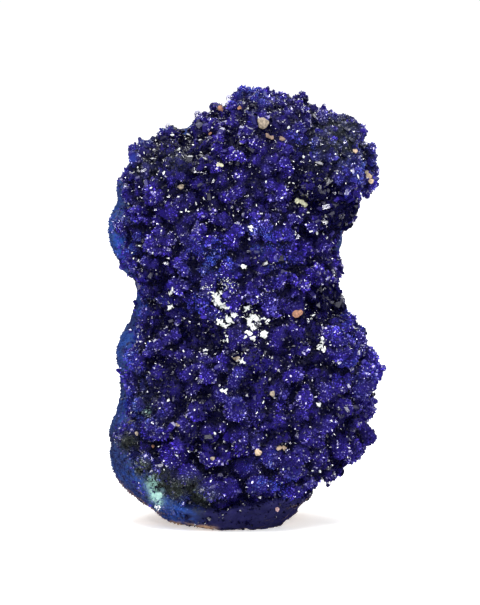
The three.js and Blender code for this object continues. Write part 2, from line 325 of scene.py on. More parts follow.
for name, value in (("dome", dome), ("ball", ball_tone)):
    inputs = {"Geometry": noted, "Name": name, "Value": value}
    noted = add(balls, "GeometryNodeStoreNamedAttribute", inputs, domain="POINT").outputs[0]
pushed = add(balls, "GeometryNodeSetPosition", {"Geometry": noted, "Offset": offset.outputs[0]})
add(balls, "NodeGroupOutput", {"Geometry": pushed.outputs[0]})
print("the tree has", len(balls.nodes), "nodes")

# %% Grow both skins
ROSETTES = {"Spacing": 3.7, "Rise": 1.8, "Grow": -0.7, "Fill": 0.8, "Grain": 0.9, "Rough": 0.9}
ROSETTES |= {"Patch": 7, "Divide": 38}
SWELLS = {"Spacing": 4.4, "Rise": 0.6, "Grow": -0.5, "Fill": 1.1, "Grain": 1.1, "Rough": 1.1}
SWELLS |= {"Patch": 9, "Divide": 90}

for skin, sizes, seed in ((crust, ROSETTES, 3.0), (rind, SWELLS, 8.0)):
    run_tree(skin, balls, {**{label: value * MM for label, value in sizes.items()}, "Seed": seed})
print("the crust has", len(crust.data.vertices), "points and the rind", len(rind.data.vertices))

# %% [markdown]
# ## High and low
#
# The gaps between the rosettes are nearly black, because little light finds its way in and out again.
# Light does part of this by itself, and the rest is painted: a heavily smoothed copy of the skin is a
# level to measure from, and each point gets a number for how high it stands over that level.


# %% Measure how high each point stands
def height_over(obj, iterations, reach):
    """How high each point stands over a smoothed copy, from 0 in a pit to 1 on a top."""
    places, normals = points_of(obj.data)
    copy = shown("level", obj.data.copy())
    smooth = copy.modifiers.new("Level", "SMOOTH")
    smooth.iterations = iterations
    level, _ = points_of(settled(copy).data)
    bpy.data.objects.remove(copy)
    rise = ((places - level) * normals).sum(axis=1)
    return np.clip(0.5 + rise / (2 * reach * MM), 0, 1)


paint(crust.data, "high", height_over(crust, iterations=40, reach=0.7))
paint(rind.data, "high", height_over(rind, iterations=40, reach=0.5))
crust_surface = tree_of(crust.data)
rind_surface = tree_of(rind.data)
print("the two surfaces are ready for rays")


# %% [markdown]
# ## Where crystals grow
#
# What is buried in the other skin is never seen, and a crystal there would be waste. Elsewhere the crust
# is overgrown all over. On the rind the crystals stray a little way past the crust's edge, which hides
# the joint. A few dot the front of the foot, and fine powdery azurite lies on the left edge. Each is
# stored as a number that the density follows. The materials also paint shade on the front of the foot.
# Where the stone turns under is stored as well, because clay is left there, and so is a thin band along
# the foot's lower left edge, which takes the same tan.


# %% Find the growing places
def buried(places, normals, surface):
    """Which points lie inside another closed surface, or will once something small stands on them."""
    inside = []
    for tip in places + normals * SURFACE_STEP:
        nearest, normal, _, _ = surface.find_nearest(Vector(tip))
        inside.append((Vector(tip) - nearest).dot(normal) < 0)
    return np.array(inside)


def zone(values, unit, **ranges):
    """Where all the given coordinates are in range: 0 at a range's first value, 1 from its second on."""
    share = np.ones(len(values))
    for axis, (none, full) in ranges.items():
        share *= between_values(values[:, "xyz".index(axis)], none * unit, full * unit)
    return share


SURFACE_STEP = 0.25 * MM
FOOT_DRUSE = 0.08

crust_places, crust_normals = points_of(crust.data)
rind_places, rind_normals = points_of(rind.data)
open_crust = ~buried(crust_places, crust_normals, rind_surface)
open_rind = ~buried(rind_places, rind_normals, crust_surface)
stray = nearness(rind_places, crust_surface, full=0.3, none=1.7)
left_edge = zone(rind_places, MM, x=(-8, -14), y=(4, -2))
# The front of the foot: crystals dot it, and the materials paint shade on it.
foot_front = zone(rind_places, MM, x=(-10, -6), y=(2, -3), z=(10, 8))
turned_under = zone(rind_normals, 1, z=(-0.3, -0.7), y=(-0.35, -0.1)) * zone(rind_places, MM, z=(10, 6))
# A thin band along the foot's lower left edge, which takes the clay's tan.
foot_line = zone(rind_places, MM, z=(1.3, 0.7), x=(-4, -6))
paint(crust.data, "grows", open_crust)
paint(rind.data, "foot_front", foot_front)
paint(rind.data, "grows", open_rind * np.maximum(stray, FOOT_DRUSE * foot_front))
paint(rind.data, "powdery", open_rind * left_edge * (1 - stray))
paint(rind.data, "under", np.maximum(turned_under, foot_line))
print(open_crust.sum(), "growing points on the crust", (open_rind * stray > 0).sum(), "on the rind")

# %% [markdown]
# ## Tints by place
#
# Some areas carry a dusting: cornflower blue where fine powdery azurite lies on the crystals, olive where
# malachite has begun to grow, and pale green where it has made a patch. Two more lists make small areas
# of the crystals darker or paler. The dark list is painted shade, mostly for pits and recesses, and the
# pale list lifts the painted shade and brightens the crystals. Most of their places come from setting a
# smoothed render against the smoothed photograph, so they may hold some of its own shadows. Each is
# given as a place on the front, a radius and a strength. Noise in the materials breaks up the edges of
# the dusting.

# %% Tints
AZURE_SPOTS = [
    (18, 59.7, 4, 0.5), (4, 7.7, 4.5, 0.4), (3.5, 45.7, 4, 0.55), (-14, 66.7, 5, 0.8),
    (-20.5, 62, 3, 0.7), (-22, 51.5, 3.2, 0.6), (-21, 46.5, 3.2, 1.0), (-20, 29.7, 3.5, 0.6),
    (1, 22.7, 4, 0.25), (-5, 43.5, 3.5, 0.6), (18, 34.7, 4, 0.35), (19, 25.7, 4, 0.25), (-18, 19, 4, 0.5),
    (-15, 24, 3.5, 0.3), (-16, 37, 3, 0.5), (-11, 2.4, 3.5, 1.0), (-18.5, 8, 3.5, 0.7), (1, 71.5, 4, 0.4),
    (10, 62.6, 3, 0.4), (-7.5, 36, 2.8, 0.4),
]
OLIVE_SPOTS = [
    (-19.3, 13.6, 1.6, 1.5), (-17, 9.6, 1.9, 1.4), (-13.8, 7.4, 2.1, 1.6), (-11.5, 6, 2.1, 1.6),
    (-9, 6.4, 2, 1.2), (-7.6, 4.3, 2.1, 1.4), (16, 64.7, 4.4, 0.8), (12.5, 62, 3, 0.4),
    (-16.5, 59.2, 3, 0.4), (-11.3, 60.5, 2.2, 0.45), (-17, 21.5, 2.5, 0.3), (-5.5, 4.6, 1.5, 0.8),
]
GREEN_SPOTS = [
    (-15.3, 6.9, 0.9, 1.6), (-15.1, 5.7, 0.7, 1.4), (-14.7, 4.7, 0.9, 1.4), (-14.1, 3.6, 0.6, 1.0),
    (-16.1, 18.9, 0.5, 0.9),
]
# Painted shade: spots that darken the crystals, mostly pits and recesses.
SHADE_SPOTS = [
    (9, 16.7, 2, 0.9), (11.8, 56.4, 3.2, 1.0), (13.8, 37.2, 2.5, 1.0), (-8, 32.6, 2.2, 1.0),
    (-5, 32, 2, 1.0), (-13.7, 35.3, 1.8, 0.8), (-14.9, 41.5, 1.8, 0.8), (-12.7, 23.5, 2.8, 0.9),
    (-9, 14.4, 2.4, 0.9), (0.6, 6, 2.6, 1.0), (-10.3, 65.2, 1.8, 0.9), (2.1, 34.3, 1.6, 0.8),
    (8.5, 60.9, 1.8, 0.7), (9.8, 31, 2.8, 0.9), (-19.6, 14, 1.2, 0.8), (-7, 19.3, 2.6, 0.9),
    (-1.2, 19.6, 1.6, 0.8), (17, 50.5, 2.5, 0.7), (-12.7, 61.2, 3.2, 0.9), (14.4, 51, 2.2, 0.8),
    (1, 26.8, 2.6, 1.0), (5.5, 15.4, 1.8, 0.8), (16.6, 18.4, 2, 0.8), (13.9, 9.3, 2, 0.7),
    (8.5, 9.7, 1.8, 0.8), (11.5, 35.3, 2.4, 0.8), (-9, 7.2, 2, 0.7), (-8.5, 61.3, 2.6, 1.0),
    (-5.8, 55, 1.8, 0.7), (1.4, 44, 1.6, 0.8), (-6.5, 13.4, 1.8, 0.9), (-9, 19.8, 1.6, 0.9),
    (2.4, 22, 1.8, 0.8), (1.8, 5, 2, 1.0), (-11.6, 7.4, 1.6, 0.8), (1, 68.8, 2, 0.25), (5, 67.5, 2, 0.2),
]
# Spots that lift the painted shade and brighten the crystals.
PALE_SPOTS = [
    (4.1, 36.6, 2.6, 1.0), (-7.4, 36, 2.6, 1.0), (6.6, 19.8, 2.4, 1.0), (1.4, 16.4, 2.2, 0.8),
    (4.2, 8, 2.6, 1.0), (7.8, 43.7, 3, 0.6), (-12, 56, 2.5, 1.0), (-16.4, 50.4, 2, 0.6), (2, 72, 3, 0.4),
    (9.5, 62.4, 2.5, 1.0), (-4.6, 45, 3.5, 0.7), (14.6, 25.5, 2.6, 0.5), (-1, 37, 2, 0.4),
    (0.6, 49.5, 2, 0.6), (5, 49.5, 2.5, 0.5), (-3, 60.5, 3, 0.5), (17.5, 58.3, 3, 0.3), (16, 28, 4, 0.35),
    (-5.2, 34.2, 1.6, 0.8), (4.8, 46.4, 2.2, 0.7), (-14, 44, 2, 0.7), (7.5, 27.9, 2, 0.8),
    (7.6, 58.6, 2, 0.6),
]
TINTS = {"azure": AZURE_SPOTS, "olive": OLIVE_SPOTS, "green": GREEN_SPOTS}
TINTS |= {"shade": SHADE_SPOTS, "pale": PALE_SPOTS}
print(sum(len(spots) for spots in TINTS.values()), "tinted spots")

# %% Paint the tints on both skins
TINT_DEPTH = 6


def tint(places, spots):
    """The strongest of some soft spots at each place. They reach the front half only."""
    across = places @ np.array(RIGHT) / MM
    up = places @ np.array(UP) / MM
    total = np.zeros(len(places))
    for x, z, radius, strength in spots:
        away = ((across - x) ** 2 + (up - z) ** 2) / radius**2
        total = np.maximum(total, strength * np.exp(-away))
    return total * (places[:, 1] < TINT_DEPTH * MM)


for skin in (crust, rind):
    places, _ = points_of(skin.data)
    for name, spots in TINTS.items():
        paint(skin.data, name, tint(places, spots))
    print(skin.name, "carries", sorted(TINTS))

# %% [markdown]
# ## Effects that the materials share
#
# Blotches of one colour in another are in every material here, so they are a node group with named
# inputs. Each material places the group with its own values, and the group puts out a mask.

# %% A shared group for blotches
def between(tree, value, start, end, low=0.0, high=1.0):
    """A value taken smoothly from one range to another."""
    inputs = {"Value": value, "From Min": start, "From Max": end, "To Min": low, "To Max": high}
    return add(tree, "ShaderNodeMapRange", inputs, interpolation_type="SMOOTHSTEP").outputs[0]


BLOTCH_INPUTS = dict.fromkeys(("Grain", "Start", "End", "Detail"), "Float")

blotches, given = new_group("ShaderNodeTree", "Blotches", BLOTCH_INPUTS, {"Mask": "Float"})
inputs = {"Vector": coordinate(blotches), "Detail": given["Detail"]}
inputs |= {"Scale": maths(blotches, "DIVIDE", 1.0, given["Grain"]), "Roughness": 0.6}
noise = add(blotches, "ShaderNodeTexNoise", inputs).outputs[0]
add(blotches, "NodeGroupOutput", {"Mask": between(blotches, noise, given["Start"], given["End"])})
print("the group has", len(blotches.nodes), "nodes")


# %% Helpers for materials
def blotch(tree, grain, start, end, detail=2.0):
    """A blotchy mask in a material. The grain is in millimetres."""
    inputs = {"Grain": grain * MM, "Start": start, "End": end, "Detail": detail}
    return add(tree, "ShaderNodeGroup", inputs, node_tree=blotches).outputs["Mask"]


def mixed(tree, factor, first, second):
    """One colour mixed into another."""
    first, second = ((*c, 1.0) if isinstance(c, tuple) else c for c in (first, second))
    return add(tree, "ShaderNodeMix", {0: factor, 6: first, 7: second}, data_type="RGBA").outputs[2]


def stored(tree, name):
    """A number that was stored at the points of the mesh."""
    return add(tree, "ShaderNodeAttribute", attribute_name=name).outputs["Fac"]


def new_material(name, **constants):
    """A material with its Principled shader, and the values that are the same all over it."""
    material = bpy.data.materials.new(name)
    material.use_nodes = True
    shader = material.node_tree.nodes["Principled BSDF"]
    for label, value in constants.items():
        shader.inputs[label.replace("_", " ")].default_value = value
    return material, material.node_tree, shader


# %% [markdown]
# ## Azurite crystals
#
# A crystal of azurite is glassy and so deep a blue that it looks black until light catches it. Each
# crystal has a random tone of its own, so the crust reads as thousands of grains, and the palest grains
# of sugar are painted a pale glint colour. Low crystals, down in the gaps, get painted shade that makes
# them nearly black, and the dark spots and the front of the foot get painted shade as well. The colour
# is one group, for two materials: the fine sugar glitters, and the larger blades have a softer shine and
# hold less of the blue powder. Azurite bends light more than glass does, with an index of about 1.78, and
# mirrors twice as much of it.

# %% The crystals' colour
# Painted shade: the colour of crystals down in the gaps and in the dark spots.
PAINTED_SHADE_BLACK = (0.0014, 0.0010, 0.019)
CRYSTAL_DEEP = (0.009, 0.0045, 0.100)
CRYSTAL_VIVID = (0.061, 0.033, 0.48)
CRYSTAL_VIOLET = (0.098, 0.086, 0.38)
# A painted glint: the colour of the palest sugar grains.
PAINTED_GLINT = (0.55, 0.50, 0.85)
POWDER_AZURE = (0.026, 0.100, 0.50)
OLIVE_DARK = (0.020, 0.026, 0.024)
OLIVE_PALE = (0.125, 0.175, 0.165)
MALACHITE = (0.32, 0.56, 0.51)

# Painted shade: height, dome and pale spots lift a crystal out of it; dark spots and the foot's front push it
# in.
HIGH_SHARE = 0.7
DOME_SHARE = 0.4
SHADE_DEPTH = 0.6
LIT_FROM, LIT_TO = 0.33, 0.72
BALL_VALUES = (0.65, 1.3)
PALE_GAIN = 0.6
PALE_LIFT = 0.2

looks = {"Colour": "Color", "Dust": "Float"}
azurite, given = new_group("ShaderNodeTree", "Azurite colour", {"Powder": "Float"}, looks)


def weighted(name, share):
    """A stored number times a share."""
    return maths(azurite, "MULTIPLY", stored(azurite, name), share)


tone = stored(azurite, "tone")
hue = mixed(azurite, blotch(azurite, 6, 0.45, 0.62), CRYSTAL_VIVID, CRYSTAL_VIOLET)
grain_colour = mixed(azurite, between(azurite, tone, 0.1, 0.9), CRYSTAL_DEEP, hue)
# Tones over 0.9 take the painted glint colour.
grain_colour = mixed(azurite, between(azurite, tone, 0.9, 1.0), grain_colour, PAINTED_GLINT)
# Painted shade from the dark spots and on the front of the foot.
painted_shade = maths(azurite, "MAXIMUM", stored(azurite, "shade"), stored(azurite, "foot_front"))
painted_shade = maths(azurite, "MULTIPLY", painted_shade, -SHADE_DEPTH)
standing = maths(azurite, "ADD", weighted("high", HIGH_SHARE), weighted("dome", DOME_SHARE), painted_shade)
# Pale spots lift the painted shade.
standing = maths(azurite, "ADD", standing, weighted("pale", PALE_LIFT))
lit_share = between(azurite, standing, LIT_FROM, LIT_TO)
azure = maths(azurite, "MULTIPLY", weighted("azure", blotch(azurite, 2.5, 0.38, 0.6)), given["Powder"])
azured = mixed(azurite, azure, grain_colour, POWDER_AZURE)
strength = between(azurite, stored(azurite, "ball"), 0.1, 0.9, *BALL_VALUES)
strength = maths(azurite, "ADD", strength, weighted("pale", PALE_GAIN))
azured = add(azurite, "ShaderNodeHueSaturation", {"Value": strength, "Color": azured}).outputs["Color"]
# Painted shade: crystals that stand low go to near black.
shaded = mixed(azurite, lit_share, PAINTED_SHADE_BLACK, azured)
olive = maths(azurite, "MULTIPLY", weighted("olive", blotch(azurite, 1.6, 0.36, 0.5)), given["Powder"])
# Pale olive only where the painted shade leaves the crystals lit.
olive_pale = maths(azurite, "MULTIPLY", between(azurite, tone, 0.5, 1.0), lit_share)
olived = mixed(azurite, olive, shaded, mixed(azurite, olive_pale, OLIVE_DARK, OLIVE_PALE))
green = weighted("green", blotch(azurite, 0.7, 0.37, 0.46, 4.0))
dusty = maths(azurite, "MAXIMUM", azure, olive, green)
greened = mixed(azurite, green, olived, MALACHITE)
add(azurite, "NodeGroupOutput", {"Colour": greened, "Dust": dusty})
print("the colour has", len(azurite.nodes), "nodes")

# %% Sugar and blades
AZURITE_IOR = 1.78
FACET_GRAIN = 0.2
FACET_DEPTH = 0.06


def fine_bump(tree, shader, grain, depth, strength):
    """Fine noise in the normal of a material. The grain and the depth are in millimetres."""
    noise = add(tree, "ShaderNodeTexNoise", {"Vector": coordinate(tree), "Scale": 1 / (grain * MM)})
    inputs = {"Height": noise.outputs[0], "Strength": strength, "Distance": depth * MM}
    bump = add(tree, "ShaderNodeBump", inputs)
    tree.links.new(bump.outputs[0], shader.inputs["Normal"])


def crystals_of(name, clean, powder):
    """A material for crystals: how rough it is where it is clean, and how well blue powder stays on it."""
    material, tree, shader = new_material(name, IOR=AZURITE_IOR)
    looks = add(tree, "ShaderNodeGroup", {"Powder": powder}, node_tree=azurite).outputs
    tree.links.new(looks["Colour"], shader.inputs["Base Color"])
    tree.links.new(between(tree, looks["Dust"], 0.0, 1.0, clean, 0.5), shader.inputs["Roughness"])
    fine_bump(tree, shader, FACET_GRAIN, FACET_DEPTH, 0.3)
    return material


sugar_material = crystals_of("azurite_sugar", clean=0.07, powder=1.0)
blade_material = crystals_of("azurite_blades", clean=0.12, powder=0.4)
print("two crystal materials")

# %% [markdown]
# ## The bed under the crystals
#
# Between the crystals the bed shows in slits, so it takes the crystals' darkest tones and a dull surface,
# and painted shade takes it to near black where it lies lowest.

# %% The bed's material
bed_material, tree, shader = new_material("azurite_bed", IOR=1.5, Specular_IOR_Level=0.1)
# Painted shade: the bed goes to near black where it lies low.
bed_colour = mixed(tree, between(tree, stored(tree, "high"), 0.3, 0.8), PAINTED_SHADE_BLACK, CRYSTAL_DEEP)
bed_colour = mixed(tree, maths(tree, "MULTIPLY", stored(tree, "olive"), 0.8), bed_colour, OLIVE_DARK)
tree.links.new(bed_colour, shader.inputs["Base Color"])
tree.links.new(between(tree, blotch(tree, 0.8, 0.4, 0.6), 0.0, 1.0, 0.45, 0.8), shader.inputs["Roughness"])
fine_bump(tree, shader, grain=0.33, depth=0.1, strength=0.6)
crust.data.materials.append(bed_material)
print("bed:", len(tree.nodes), "nodes")

# %% [markdown]
# ## Massive azurite
#
# The rind is the same mineral, grown without crystal faces: a dull powder blue, with painted shade that
# makes it deeper in the creases than on the swells. The front of the foot, under the crust, is painted
# nearly navy, partly its own deep blue and partly painted shade. Malachite has greened a patch of it at
# the lower left, and ochre clay is left in the hollows of the back and where the stone turns under. A
# thin band along the foot's lower left edge takes the same tan.

# %% The rind's material
RIND_PALE = (0.015, 0.044, 0.165)
RIND_MIDDLE = (0.009, 0.018, 0.078)
RIND_NAVY = (0.0056, 0.0044, 0.060)
RIND_AZURE = (0.009, 0.052, 0.29)
CLAY = (0.36, 0.22, 0.13)
# metres behind the middle
BACK_FROM, BACK_TO = 0.004, 0.009

rind_material, tree, shader = new_material("massive_azurite", IOR=1.5, Specular_IOR_Level=0.25)
behind = parted(tree, coordinate(tree))["Y"]


def patchy(name, grain, start, end, detail=2.0):
    """A stored number on the rind, broken up by noise."""
    return maths(tree, "MULTIPLY", stored(tree, name), blotch(tree, grain, start, end, detail))


swirl = mixed(tree, blotch(tree, 3.5, 0.4, 0.62, 4.0), RIND_MIDDLE, RIND_PALE)
# Painted shade: the rind goes navy in its creases.
crease_shaded = mixed(tree, between(tree, stored(tree, "high"), 0.28, 0.62), RIND_NAVY, swirl)
speckled = mixed(tree, blotch(tree, 0.5, 0.5, 0.6), crease_shaded, RIND_NAVY)
azured = mixed(tree, patchy("azure", 1.2, 0.35, 0.6), speckled, RIND_AZURE)
# The front of the foot goes navy: its own deep blue and painted shade.
foot_shaded = mixed(tree, stored(tree, "foot_front"), azured, RIND_NAVY)
olived = mixed(tree, patchy("olive", 1.6, 0.4, 0.6), foot_shaded, OLIVE_DARK)
greened = mixed(tree, patchy("green", 0.7, 0.36, 0.46, 4.0), olived, MALACHITE)
back_share = between(tree, behind, BACK_FROM, BACK_TO)
hollow_clay = maths(tree, "MULTIPLY", blotch(tree, 5, 0.56, 0.66, 4.0), back_share)
# The clay also takes the thin band along the foot's lower left edge.
clay = maths(tree, "MAXIMUM", patchy("under", 1.5, 0.34, 0.5), hollow_clay)
tree.links.new(mixed(tree, clay, greened, CLAY), shader.inputs["Base Color"])
tree.links.new(between(tree, blotch(tree, 1.2, 0.35, 0.65), 0.0, 1.0, 0.55, 0.85), shader.inputs["Roughness"])
fine_bump(tree, shader, grain=0.45, depth=0.15, strength=0.5)
rind.data.materials.append(rind_material)
print("rind:", len(tree.nodes), "nodes")

# %% [markdown]
# ## Two crystals
#
# Azurite of this kind grows as little tablets with a chisel end, where it has room. The sugar on the
# rosettes is so fine that only its glitter shows, and a double pyramid of eight triangles is enough for a
# grain, because there will be tens of thousands. Both are modelled at unit size, with the lower part
# meant to sit in the bed.


# %% A tablet and a grain of sugar
def sugar_crystal():
    """A closed double pyramid, 1 wide, with its point up."""
    half_width, half_thick, root, waist, tip = 0.5, 0.38, -0.5, 0.12, 0.72
    points = [(-half_width, 0, waist), (0, -half_thick, waist)]
    points += [(half_width, 0, waist), (0, half_thick, waist), (0, 0, root), (0.1, 0, tip)]
    around = [(0, 1), (1, 2), (2, 3), (3, 0)]
    return built("sugar", points, [(a, b, 5) for a, b in around] + [(b, a, 4) for a, b in around])


def tablet_crystal():
    """A closed tablet, 1 wide and 0.6 thick, with a ridge for its end."""
    half_width, half_thick, ridge_half = 0.5, 0.3, 0.28
    root, shoulder, ridge = -0.6, 0.5, 0.78
    corners = [(-1, -1), (1, -1), (1, 1), (-1, 1)]
    points = [(x * half_width, y * half_thick, z) for z in (root, shoulder) for x, y in corners]
    points += [(-ridge_half, 0, ridge), (ridge_half, 0, ridge)]
    sides = [(0, 1, 5, 4), (1, 2, 6, 5), (2, 3, 7, 6), (3, 0, 4, 7)]
    ends = [(3, 2, 1, 0), (4, 5, 9, 8), (6, 7, 8, 9), (5, 6, 9), (7, 4, 8)]
    return built("tablet", points, sides + ends)


def triangles_in(mesh):
    """How many triangles a mesh has, with each larger face split."""
    return len(mesh.loops) - 2 * len(mesh.polygons)


tablet = tablet_crystal()
sugar = sugar_crystal()
print("a tablet has", triangles_in(tablet.data), "triangles and a grain", triangles_in(sugar.data))

# %% [markdown]
# ## The druse
#
# Setting fifty thousand crystals by hand is out of the question, and a particle system gives little say
# in what grows where. Geometry Nodes spread points over the skin at an even distance, set a crystal on
# each, tip it at random, and store its tone. The result is split by height into pieces of a size that any
# program can open. In the notch at the right the blades are bigger and darker, so they are grown last, on
# spots of their own.

# %% A tree that grows crystals
DRUSE_SIZES = ("Distance", "Smallest", "Largest", "Tip", "Palest", "Bottom", "Top", "Seed")

LEAST_GROWTH = 0.01
DENSITY_LIMIT = 2e7

druse, size = geometry_tree("Druse", DRUSE_SIZES, Crystal="Object", Where="String", Material="Material")
growth = named(druse, size["Where"])
level = parted(druse, add(druse, "GeometryNodeInputPosition").outputs[0])["Z"]
above = maths(druse, "GREATER_THAN", level, size["Bottom"])
below = maths(druse, "LESS_THAN", level, size["Top"])
chosen = maths(druse, "MULTIPLY", above, below, maths(druse, "GREATER_THAN", growth, LEAST_GROWTH))
spread = add(
    druse,
    "GeometryNodeDistributePointsOnFaces",
    {
        "Mesh": size["Geometry"],
        "Selection": maths(druse, "GREATER_THAN", chosen, 0.5),
        "Distance Min": size["Distance"],
        "Density Max": DENSITY_LIMIT,
        "Density Factor": growth,
        "Seed": size["Seed"],
    },
    distribute_method="POISSON",
)


def chance(low, high, shift, kind="FLOAT"):
    """A random value for each crystal."""
    first, result = (0, 0) if kind == "FLOAT_VECTOR" else (2, 1)
    inputs = {first: low, first + 1: high, "Seed": maths(druse, "ADD", size["Seed"], float(shift))}
    return add(druse, "FunctionNodeRandomValue", inputs, data_type=kind).outputs[result]


tip_reach = add(druse, "ShaderNodeCombineXYZ", {"X": size["Tip"], "Y": size["Tip"], "Z": math.pi})
tip_start = add(druse, "ShaderNodeVectorMath", {0: tip_reach.outputs[0], "Scale": -1.0}, operation="SCALE")
tip = chance(tip_start.outputs[0], tip_reach.outputs[0], 1, "FLOAT_VECTOR")
inputs = {"Rotation": spread.outputs["Rotation"], "Rotate By": tip}
tipped = add(druse, "FunctionNodeRotateRotation", inputs, rotation_space="LOCAL")
luck = maths(druse, "POWER", chance(0.0, 1.0, 2), 4.0)
spare = maths(druse, "SUBTRACT", size["Largest"], size["Smallest"])
width = maths(druse, "ADD", size["Smallest"], maths(druse, "MULTIPLY", luck, spare))
length = maths(druse, "MULTIPLY", width, chance(0.8, 1.5, 3))
stretch = add(druse, "ShaderNodeCombineXYZ", {"X": width, "Y": width, "Z": length})
source = add(druse, "GeometryNodeObjectInfo", {"Object": size["Crystal"]})
grown = add(
    druse,
    "GeometryNodeInstanceOnPoints",
    {
        "Points": spread.outputs["Points"],
        "Instance": source.outputs["Geometry"],
        "Rotation": tipped.outputs[0],
        "Scale": stretch.outputs[0],
    },
)
inputs = {"Geometry": grown.outputs[0], "Name": "tone", "Value": chance(0.0, size["Palest"], 4)}
toned = add(druse, "GeometryNodeStoreNamedAttribute", inputs, domain="INSTANCE")
real = add(druse, "GeometryNodeRealizeInstances", {"Geometry": toned.outputs[0]})
inputs = {"Geometry": real.outputs[0], "Material": size["Material"]}
add(druse, "NodeGroupOutput", {"Geometry": add(druse, "GeometryNodeSetMaterial", inputs).outputs[0]})
print("the tree has", len(druse.nodes), "nodes")


# %% The kinds of crystal
def kind_of(distance, smallest, largest, tip, palest, **others):
    """What the tree is told of one kind of crystal. Lengths are in millimetres, and the tip in degrees."""
    sizes = {"Distance": distance, "Smallest": smallest, "Largest": largest}
    sizes = {label: value * MM for label, value in sizes.items()}
    return {**sizes, "Tip": math.radians(tip), "Palest": palest, **others}


SUGAR = kind_of(0.26, 0.26, 0.6, 40, 1.0, Crystal=sugar, Material=sugar_material, Where="grows")
TABLETS = kind_of(1.2, 0.4, 1.1, 48, 0.45, Crystal=tablet, Material=blade_material, Where="grows")
POWDER = kind_of(0.36, 0.28, 0.5, 60, 1.0, Crystal=sugar, Material=rind_material, Where="powdery")
BLADES = kind_of(0.6, 0.9, 1.7, 60, 0.6, Crystal=tablet, Material=blade_material, Where="blades")
BLADE_SPOTS = [
    (12.8, 54.1, 2.4, 1.0), (15.3, 51.8, 2.4, 1.0), (17.2, 53.6, 1.6, 1.0), (14.3, 49.4, 1.4, 1.0),
    (12.8, 37.6, 2.0, 1.0), (15.2, 37.4, 1.4, 1.0),
]
BLADE_EDGE = 0.35
SUGAR_BANDS = [0, 18, 30, 42, 56, 90]
TABLET_BANDS = [0, 36, 90]
ALL_HEIGHTS = (0, 90)
print("bands of sugar:", len(SUGAR_BANDS) - 1, "and of tablets:", len(TABLET_BANDS) - 1)


# %% Grow the druse
def grow(skin, name, crystal, band, seed):
    """The crystals on one band of a skin, as a piece of their own."""
    piece = shown(name, skin.data.copy())
    run_tree(piece, druse, crystal | {"Bottom": band[0] * MM, "Top": band[1] * MM, "Seed": float(seed)})
    print(name, triangles_in(piece.data), "triangles")
    return piece


paint(crust.data, "blades", open_crust * (tint(crust_places, BLADE_SPOTS) > BLADE_EDGE))
crystals = []
for kind, crystal, bands in (("sugar", SUGAR, SUGAR_BANDS), ("tablets", TABLETS, TABLET_BANDS)):
    for number, band in enumerate(zip(bands, bands[1:]), start=1):
        crystals.append(grow(crust, f"{kind}_{number}", crystal, band, seed=10 * number))
    crystals.append(grow(rind, f"{kind}_edge", crystal, ALL_HEIGHTS, seed=99))
crystals.append(grow(rind, "azure_powder", POWDER, ALL_HEIGHTS, seed=7))
crystals.append(grow(crust, "notch_blades", BLADES, ALL_HEIGHTS, seed=31))
print("in all", sum(triangles_in(piece.data) for piece in crystals), "triangles")
for crystal in (tablet, sugar):
    bpy.data.objects.remove(crystal)

# %% [markdown]
# ## Clay grains, white mineral and painted glints
#
# A few grains of clay are stuck to the crust, tan, orange or cream, and a white mineral fills some gaps
# in the middle. Single white splinters elsewhere are painted glints: they stand for bright specks where
# light flashes on azurite faces, and a splinter shows in any light. Each grain is a small rounded stone
# and each white chip an angular one, and the chips of a patch run into each other. A ray finds the crust
# under each place.

# %% Where the grains are
GRAIN_PLACES = [
    # across, up, radius, colour
    (3.1, 66.6, 1.0, "tan"), (3.8, 64.3, 0.4, "brown"), (4.5, 64.0, 0.4, "brown"),
    (6.3, 63.7, 0.5, "brown"), (-3.8, 69.1, 0.55, "orange"), (-0.9, 69.1, 0.35, "orange"),
    (-5.5, 64.8, 0.3, "orange"), (20.6, 57.8, 0.6, "cream"), (21.0, 57.0, 0.45, "cream"),
    (20.2, 58.4, 0.4, "tan"), (8.7, 35.1, 0.85, "orange"), (-1.5, 27.8, 0.45, "tan"),
    (-0.8, 27.4, 0.45, "tan"), (4.5, 22, 0.5, "tan"), (5.6, 12.8, 0.5, "cream"),
    (6.5, 12.7, 0.5, "cream"), (2.3, 12.2, 0.6, "cream"), (-5.1, 11, 0.35, "tan"),
    (-10.9, 16.6, 0.4, "tan"), (-17.8, 15.2, 0.35, "tan"), (-15.2, 12.9, 0.3, "orange"),
    (5.4, 2.7, 0.4, "pink"), (-10.4, 56, 0.5, "tan"), (-4.5, 59.5, 0.4, "yellow"),
    (-3.9, 59.4, 0.35, "yellow"), (8.7, 53.6, 0.5, "yellow"), (9.5, 53.4, 0.55, "yellow"),
    (10, 53, 0.4, "yellow"), (-7.5, 66.1, 0.6, "grey"), (18.3, 61.9, 0.4, "cream"),
    (16.6, 47.5, 0.5, "grey"), (17.5, 47.9, 0.5, "grey"),
]
GRAIN_COLOURS = {
    "tan": (0.36, 0.29, 0.22), "orange": (0.38, 0.18, 0.11), "cream": (0.55, 0.40, 0.28),
    "yellow": (0.60, 0.60, 0.42), "pink": (0.60, 0.38, 0.38), "grey": (0.08, 0.08, 0.13),
    "brown": (0.27, 0.18, 0.13),
}
print(len(GRAIN_PLACES), "grains in", len(GRAIN_COLOURS), "colours")

# %% Helpers for small stones
STONE_LOBES = ((2, 0.10), (3, 0.09), (5, 0.05))
STONE_NARROW = (0.75, 1)
CLAY_DARK_SHARE = 0.45


